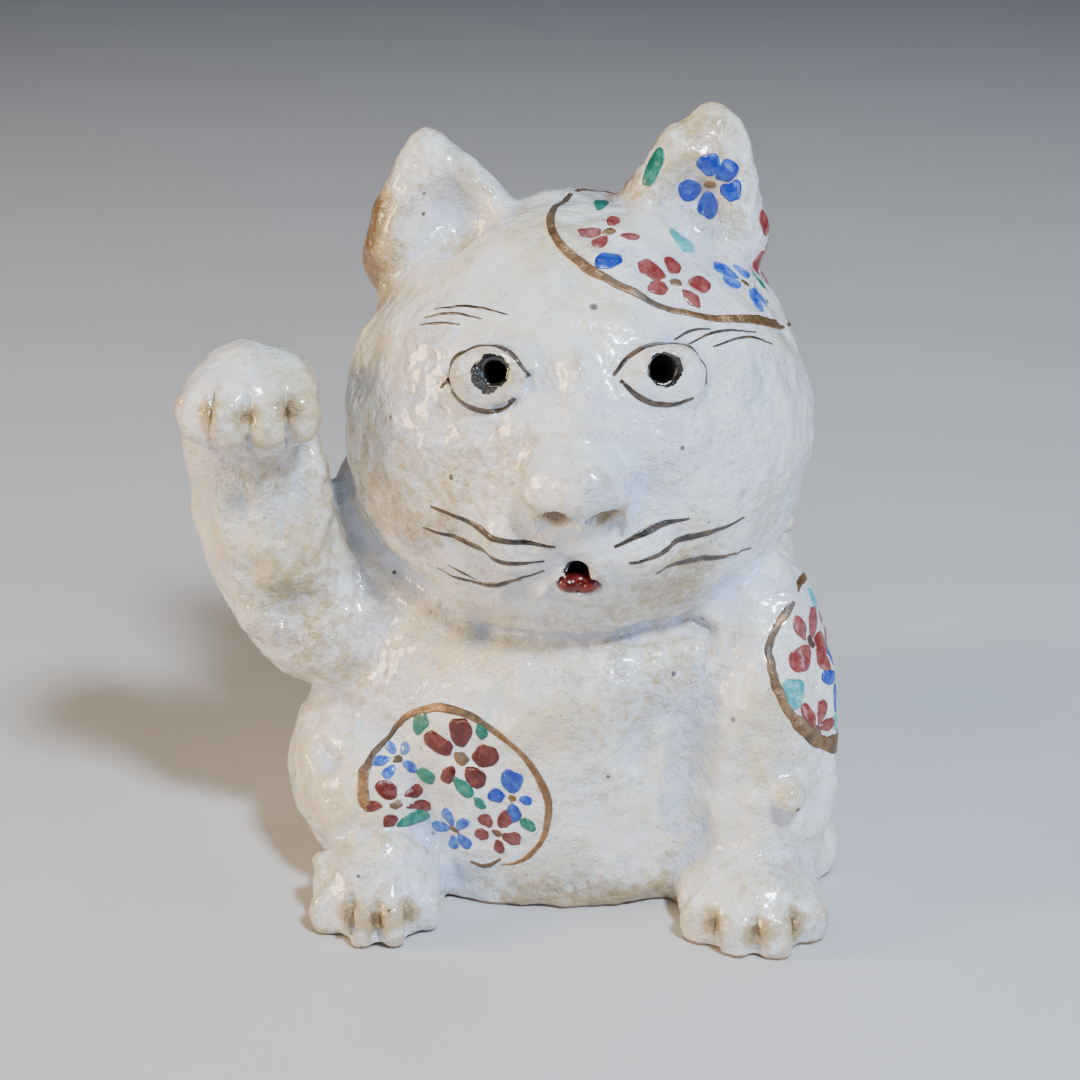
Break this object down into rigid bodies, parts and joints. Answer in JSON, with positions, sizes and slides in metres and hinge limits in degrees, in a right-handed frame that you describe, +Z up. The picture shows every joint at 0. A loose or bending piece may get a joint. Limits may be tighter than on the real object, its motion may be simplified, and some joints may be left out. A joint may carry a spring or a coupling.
{
  "type": "beckoning cat figurine",
  "caption": "Hand-built glazed stoneware cat sitting upright with one paw raised, hollow and open underneath, with pierced pupils and overglaze enamel flowers.",
  "frame": {"origin": "centre of the bounding box at the base, on the surface the cat stands on", "axes": "+Z up; the cat faces -Y; its raised right arm is on the -X side"},
  "size_m": [0.1086, 0.1014, 0.126],
  "materials": {
    "white_glaze": "thick glossy white glaze with ochre breaks and pinholes",
    "raw_clay": "unglazed toasted stoneware",
    "tongue_enamel": "wet glossy dark red enamel",
    "red_enamel": "brushed iron red enamel",
    "blue_enamel": "translucent cobalt enamel",
    "green_enamel": "translucent green enamel",
    "turquoise_enamel": "translucent turquoise enamel",
    "gold_lustre": "worn bronze gold lustre",
    "black_line": "brushed iron black line"
  },
  "bodies": {
    "root": {"body_shell": "white_glaze", "head_shell": "white_glaze", "neck_collar": "white_glaze", "ear_right": "white_glaze", "ear_left": "white_glaze", "nose": "white_glaze", "eye_right": "white_glaze", "eye_left": "white_glaze", "tongue": "tongue_enamel", "raised_arm": "white_glaze", "raised_paw": "white_glaze", "foreleg_left": "white_glaze", "forepaw_left": "white_glaze", "wrist_pellet": "white_glaze", "haunch_right": "white_glaze", "haunch_left": "white_glaze", "hindpaw_right": "white_glaze", "hindpaw_left": "white_glaze", "tail": "white_glaze"}
  },
  "joints": []
}
